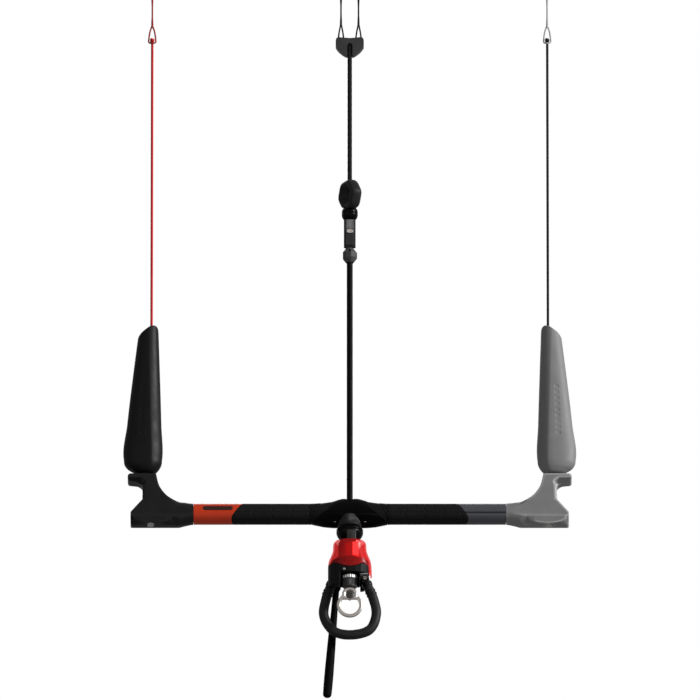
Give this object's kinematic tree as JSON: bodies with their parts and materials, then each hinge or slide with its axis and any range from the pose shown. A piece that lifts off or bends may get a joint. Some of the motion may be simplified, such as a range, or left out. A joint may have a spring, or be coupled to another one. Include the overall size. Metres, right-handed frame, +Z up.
{
  "type": "kitesurf control bar set",
  "caption": "Kitesurf control bar with end floats, trim cleat, yoke and lines above, and a push-away quick release with harness loop, stick and leash ring below.",
  "frame": {"origin": "level of the loops at the top ends of the four lines, on the centre line: where the kite holds the set up", "axes": "+X along the bar towards its grey end, -Y towards the rider, +Z up along the lines"},
  "size_m": [0.5238, 0.0517, 0.8733],
  "materials": {
    "cord_black": "braided line, matt",
    "cord_red": "braided line, matt",
    "cord_grey": "braided line, matt",
    "cord_dark_red": "braided line, matt",
    "black_plastic": "moulded, fine grain",
    "black_gloss": "moulded, glossy",
    "grey_plastic": "moulded, fine grain",
    "grip_foam": "dense foam grip with moulded grooves",
    "orange_sleeve": "satin",
    "slate_sleeve": "satin",
    "float_black": "moulded foam, satin",
    "float_grey": "moulded foam, satin",
    "red_clear": "translucent, glossy",
    "steel": "machined",
    "nickel": "cast, brushed",
    "alloy": "drawn tube, black anodised",
    "webbing": "woven, stitched",
    "loop_tube": "smooth hose, satin"
  },
  "bodies": {
    "kite_side": {"yoke": "black_plastic", "yoke_pin_left": "steel", "yoke_pin_right": "steel", "front_line_left": "cord_black", "front_line_right": "cord_black", "trim_line": "cord_black"},
    "depower": {"trim_cleat_head": "black_gloss", "trim_webbing": "black_plastic", "stitch_panel_upper": "webbing", "stitch_panel_lower": "webbing", "trim_badge": "steel", "tube_joint": "grey_plastic", "center_tube": "black_gloss", "swivel_head": "steel"},
    "toggle": {"trim_toggle": "black_plastic"},
    "bushing": {"center_bushing": "steel"},
    "bar": {"bar_tube_left": "alloy", "bar_tube_right": "alloy", "hub_shell_front": "black_gloss", "hub_shell_back": "black_gloss", "hub_screw_1": "steel", "hub_screw_2": "steel", "hub_screw_3": "steel", "hub_screw_4": "steel", "hub_bumper": "black_plastic", "grip_left": "grip_foam", "grip_right": "grip_foam", "colour_sleeve_left": "orange_sleeve", "colour_sleeve_right": "slate_sleeve", "bar_end_left": "black_plastic", "bar_end_right": "grey_plastic", "end_screw_left": "steel", "end_screw_right": "steel", "leader_knot_left": "cord_black", "leader_knot_right": "cord_black"},
    "float_left": {"float_left": "float_black", "leader_left": "cord_red", "flying_line_left": "cord_dark_red"},
    "float_right": {"float_right": "float_grey", "leader_right": "cord_black", "flying_line_right": "cord_grey"},
    "quick_release": {"swivel_cap": "black_gloss", "swivel_cup": "black_gloss", "release_housing": "black_plastic", "release_spring": "steel", "housing_pin": "steel", "latch_bar": "steel", "loop_pin": "steel", "latch_pin": "steel", "stick_pin": "steel", "leash_bearing": "steel"},
    "sleeve": {"release_sleeve": "red_clear"},
    "loop": {"harness_loop": "loop_tube", "loop_end_left": "black_gloss", "loop_end_right": "black_gloss"},
    "stick": {"loop_stick": "loop_tube"},
    "leash_swivel": {"leash_barrel": "black_plastic", "leash_screw": "steel"},
    "leash_ring": {"leash_ring": "nickel"}
  },
  "joints": [
    {"name": "trim_slide", "type": "slide", "parent": "kite_side", "child": "depower", "axis": [0, 0, 1], "range_m": [0, 0.1], "deforming": ["trim_line"]},
    {"name": "toggle_turn", "type": "hinge", "parent": "depower", "child": "toggle", "pos_m": [0, 0, -0.264], "axis": [0, 0, 1], "continuous": true},
    {"name": "bar_slide", "type": "slide", "parent": "depower", "child": "bushing", "axis": [0, 0, 1], "range_m": [0, 0.26]},
    {"name": "bar_tilt", "type": "hinge", "parent": "bushing", "child": "bar", "pos_m": [0, 0, -0.655], "axis": [0, 1, 0], "range_deg": [-7, 7]},
    {"name": "float_left_pivot", "type": "hinge", "parent": "bar", "child": "float_left", "pos_m": [-0.23, 0, -0.607], "axis": [0, 1, 0], "range_deg": [-7, 7]},
    {"name": "float_right_pivot", "type": "hinge", "parent": "bar", "child": "float_right", "pos_m": [0.23, 0, -0.607], "axis": [0, 1, 0], "range_deg": [-7, 7]},
    {"name": "swivel_spin", "type": "hinge", "parent": "depower", "child": "quick_release", "pos_m": [0, 0, -0.68], "axis": [0, 0, 1], "continuous": true},
    {"name": "sleeve_slide", "type": "slide", "parent": "quick_release", "child": "sleeve", "axis": [0, 0, 1], "range_m": [0, 0.014], "stiffness_N_per_m": 300, "springref_m": -0.01, "deforming": ["release_spring"]},
    {"name": "loop_open", "type": "hinge", "parent": "quick_release", "child": "loop", "pos_m": [-0.019, 0.007, -0.7326], "axis": [0, 1, 0], "range_deg": [0, 75]},
    {"name": "stick_swing", "type": "hinge", "parent": "quick_release", "child": "stick", "pos_m": [-0.0155, 0.0198, -0.7377], "axis": [0, 1, 0], "range_deg": [-40, 60]},
    {"name": "leash_spin", "type": "hinge", "parent": "quick_release", "child": "leash_swivel", "pos_m": [0, -0.008, -0.7431], "axis": [0, 0, 1], "continuous": true},
    {"name": "leash_ring_swing", "type": "hinge", "parent": "leash_swivel", "child": "leash_ring", "pos_m": [0, -0.008, -0.7574], "axis": [0, 1, 0], "range_deg": [-45, 45]}
  ],
  "couplings": [
    {"joint": "float_left_pivot", "follows": "bar_tilt", "ratio": -1},
    {"joint": "float_right_pivot", "follows": "bar_tilt", "ratio": -1}
  ]
}
